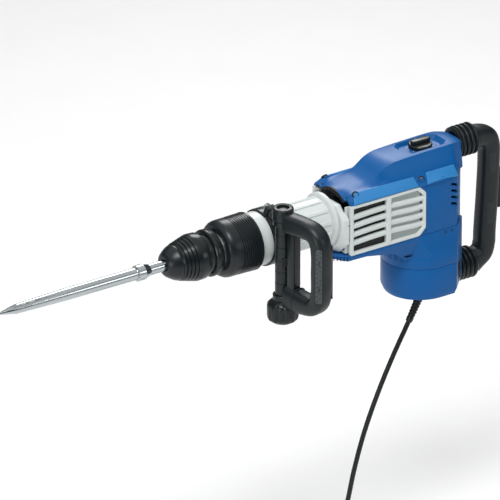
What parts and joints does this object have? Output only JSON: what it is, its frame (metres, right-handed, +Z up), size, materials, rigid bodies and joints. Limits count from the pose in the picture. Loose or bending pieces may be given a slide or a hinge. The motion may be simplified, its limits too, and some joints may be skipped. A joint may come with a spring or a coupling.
{
  "type": "demolition hammer",
  "caption": "Heavy electric breaker with a pointed chisel in a round chuck, an upright motor, a swinging front bow handle, a cushioned rear D-handle and a mains cord with a plug",
  "frame": {"origin": "where the tool axis crosses the middle of the rear grip, which the user's hand holds", "axes": "+X runs along the tool axis from the chisel's tip to the rear grip, +Z is up, so the side with the bow handle faces -Y"},
  "size_m": [0.9603, 0.225, 0.697],
  "materials": {
    "blue_plastic": "satin blue moulded plastic",
    "silver_paint": "silver-white paint on a light casting",
    "black_plastic": "charcoal-black moulded plastic",
    "rubber": "black rubber",
    "bright_steel": "bright ground steel",
    "dark_steel": "oiled dark steel",
    "aluminium": "machined aluminium",
    "copper": "copper windings on laminated steel",
    "carbon": "carbon graphite",
    "board": "circuit board with a potted controller"
  },
  "bodies": {
    "housing": {"chuck_carrier": "aluminium", "rubber_sleeve": "rubber", "barrel_housing": "silver_paint", "hammer_tube": "dark_steel", "gear_housing": "silver_paint", "vent_cover_left": "silver_paint", "vent_cover_right": "silver_paint", "rear_housing": "blue_plastic", "motor_housing": "blue_plastic", "motor_cap": "blue_plastic", "top_hood": "blue_plastic", "bearing_bridge": "aluminium", "crank_bearing": "bright_steel", "motor_bearing_upper": "bright_steel", "motor_bearing_lower": "bright_steel", "stator": "dark_steel", "carbon_brush_left": "carbon", "carbon_brush_right": "carbon", "electronics_module": "board", "hood_screw_1": "bright_steel", "hood_screw_2": "bright_steel", "rear_grille_left": "black_plastic", "rear_grille_right": "black_plastic", "upper_bellows": "rubber", "lower_bellows": "rubber", "cord_boot": "rubber", "mains_cord": "rubber", "cord_coil": "rubber", "cord_tail": "rubber", "plug": "black_plastic"},
    "chuck": {"tool_holder": "dark_steel", "nose_cap": "rubber", "locking_pin_upper": "dark_steel", "locking_pin_lower": "dark_steel", "adjusting_ring": "black_plastic", "sleeve_spring": "dark_steel"},
    "chisel": {"chisel": "bright_steel"},
    "locking_sleeve": {"locking_sleeve": "black_plastic"},
    "beat_piece": {"beat_piece": "dark_steel"},
    "ram": {"ram": "dark_steel"},
    "piston": {"drive_piston": "aluminium", "connecting_rod": "aluminium", "wrist_pin": "bright_steel"},
    "crank": {"crank_gear": "dark_steel"},
    "armature": {"armature": "copper", "cooling_fan": "black_plastic"},
    "speed_dial": {"speed_dial": "black_plastic"},
    "clamp": {"clamp_band": "black_plastic", "clamp_bolt": "bright_steel", "clamp_post": "black_plastic", "post_cap": "black_plastic"},
    "bow": {"bow_handle": "black_plastic", "bow_grip_pad": "rubber"},
    "knob": {"handle_knob": "black_plastic"},
    "rear_handle": {"rear_handle": "black_plastic", "switch_module": "black_plastic", "handle_strut_upper": "bright_steel", "handle_strut_lower": "bright_steel"},
    "grip_switch": {"grip_switch": "black_plastic"}
  },
  "joints": [
    {"name": "chuck_turn", "type": "hinge", "parent": "housing", "child": "chuck", "pos_m": [-0.58, 0, 0], "axis": [1, 0, 0], "continuous": true},
    {"name": "chisel_slide", "type": "slide", "parent": "chuck", "child": "chisel", "axis": [-1, 0, 0], "range_m": [0, 0.007]},
    {"name": "locking_sleeve_slide", "type": "slide", "parent": "chuck", "child": "locking_sleeve", "axis": [1, 0, 0], "range_m": [0, 0.008], "stiffness_N_per_m": 1200, "deforming": ["sleeve_spring"]},
    {"name": "beat_piece_slide", "type": "slide", "parent": "housing", "child": "beat_piece", "axis": [1, 0, 0], "range_m": [0, 0.005]},
    {"name": "ram_slide", "type": "slide", "parent": "housing", "child": "ram", "axis": [-1, 0, 0], "range_m": [0, 0.014]},
    {"name": "piston_slide", "type": "slide", "parent": "housing", "child": "piston", "axis": [1, 0, 0], "range_m": [0, 0.036]},
    {"name": "armature_spin", "type": "hinge", "parent": "housing", "child": "armature", "pos_m": [-0.138, 0, -0.1], "axis": [0, 0, 1], "continuous": true},
    {"name": "crank_spin", "type": "hinge", "parent": "housing", "child": "crank", "pos_m": [-0.18363, 0, -0.04], "axis": [0, 0, 1], "continuous": true},
    {"name": "speed_dial_turn", "type": "hinge", "parent": "housing", "child": "speed_dial", "pos_m": [-0.137, 0, 0.08], "axis": [0, 0, 1], "range_deg": [0, 270]},
    {"name": "side_handle_swing", "type": "hinge", "parent": "housing", "child": "clamp", "pos_m": [-0.435, 0, 0], "axis": [1, 0, 0], "continuous": true},
    {"name": "bow_turn", "type": "hinge", "parent": "clamp", "child": "bow", "pos_m": [-0.443, -0.06, 0], "axis": [0, 0, 1], "range_deg": [-60, 25]},
    {"name": "knob_turn", "type": "hinge", "parent": "clamp", "child": "knob", "pos_m": [-0.443, -0.06, -0.1], "axis": [0, 0, 1], "continuous": true},
    {"name": "rear_handle_damping", "type": "slide", "parent": "housing", "child": "rear_handle", "axis": [-1, 0, 0], "range_m": [0, 0.006], "stiffness_N_per_m": 12000, "deforming": ["upper_bellows", "lower_bellows"]},
    {"name": "grip_switch_press", "type": "slide", "parent": "rear_handle", "child": "grip_switch", "axis": [-1, 0, 0], "range_m": [0, 0.003], "stiffness_N_per_m": 2500}
  ],
  "couplings": [
    {"joint": "crank_spin", "follows": "armature_spin", "ratio": -0.25}
  ]
}
